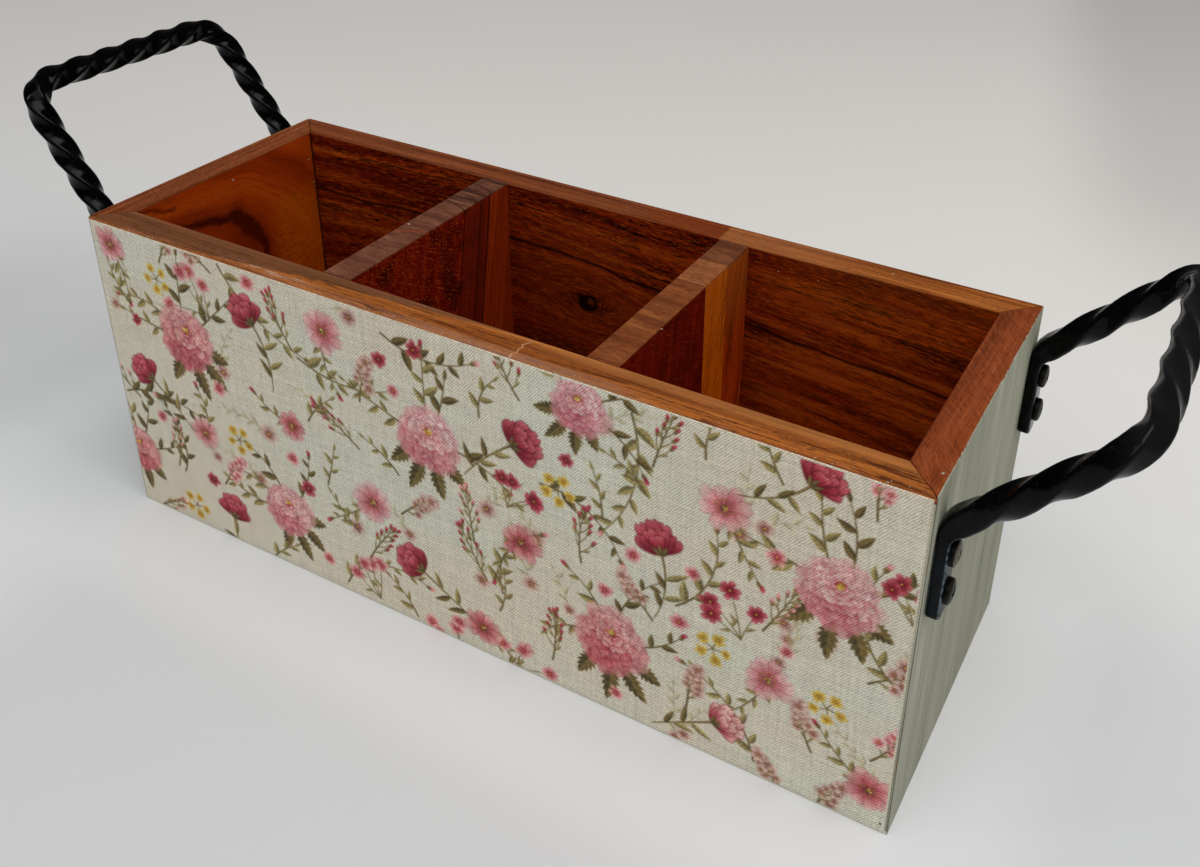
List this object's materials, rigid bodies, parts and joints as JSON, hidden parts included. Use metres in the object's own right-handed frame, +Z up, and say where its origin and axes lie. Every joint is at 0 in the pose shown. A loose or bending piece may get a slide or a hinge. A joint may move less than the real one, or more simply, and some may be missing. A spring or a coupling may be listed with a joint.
{
  "type": "divided wooden box",
  "caption": "Long open wooden box with two cross dividers, a printed canvas glued to its front, and a handle of twisted square iron bar screwed to each end.",
  "frame": {"origin": "centre of the flat underside, on the surface the box stands on", "axes": "+X along the box towards the right-hand end as seen from the front, +Y from the canvas front to the back, +Z up"},
  "size_m": [0.4516, 0.1258, 0.1891],
  "materials": {
    "front_wood": "waxed, its rim rubbed bare and scuffed",
    "back_wood": "oiled, dark curly figure inside, painted outside",
    "end_wood": "oiled inside, brushed sage grey paint outside",
    "floor_wood": "oiled, matt",
    "divider_wood": "oiled, end grain on top",
    "canvas": "cream twill canvas with a printed floral",
    "black_iron": "semi-gloss black, hammered",
    "screws": "black, worn to bright steel at the recess"
  },
  "bodies": {
    "root": {"front_board": "front_wood", "back_board_left": "back_wood", "back_board_right": "back_wood", "left_end_board": "end_wood", "right_end_board": "end_wood", "floor_board": "floor_wood", "divider_left": "divider_wood", "divider_right_front": "divider_wood", "divider_right_middle": "divider_wood", "divider_right_back": "divider_wood", "front_canvas": "canvas", "left_handle": "black_iron", "right_handle": "black_iron", "left_front_lower_screw": "screws", "left_front_upper_screw": "screws", "left_back_lower_screw": "screws", "left_back_upper_screw": "screws", "right_front_lower_screw": "screws", "right_front_upper_screw": "screws", "right_back_lower_screw": "screws", "right_back_upper_screw": "screws"}
  },
  "joints": []
}
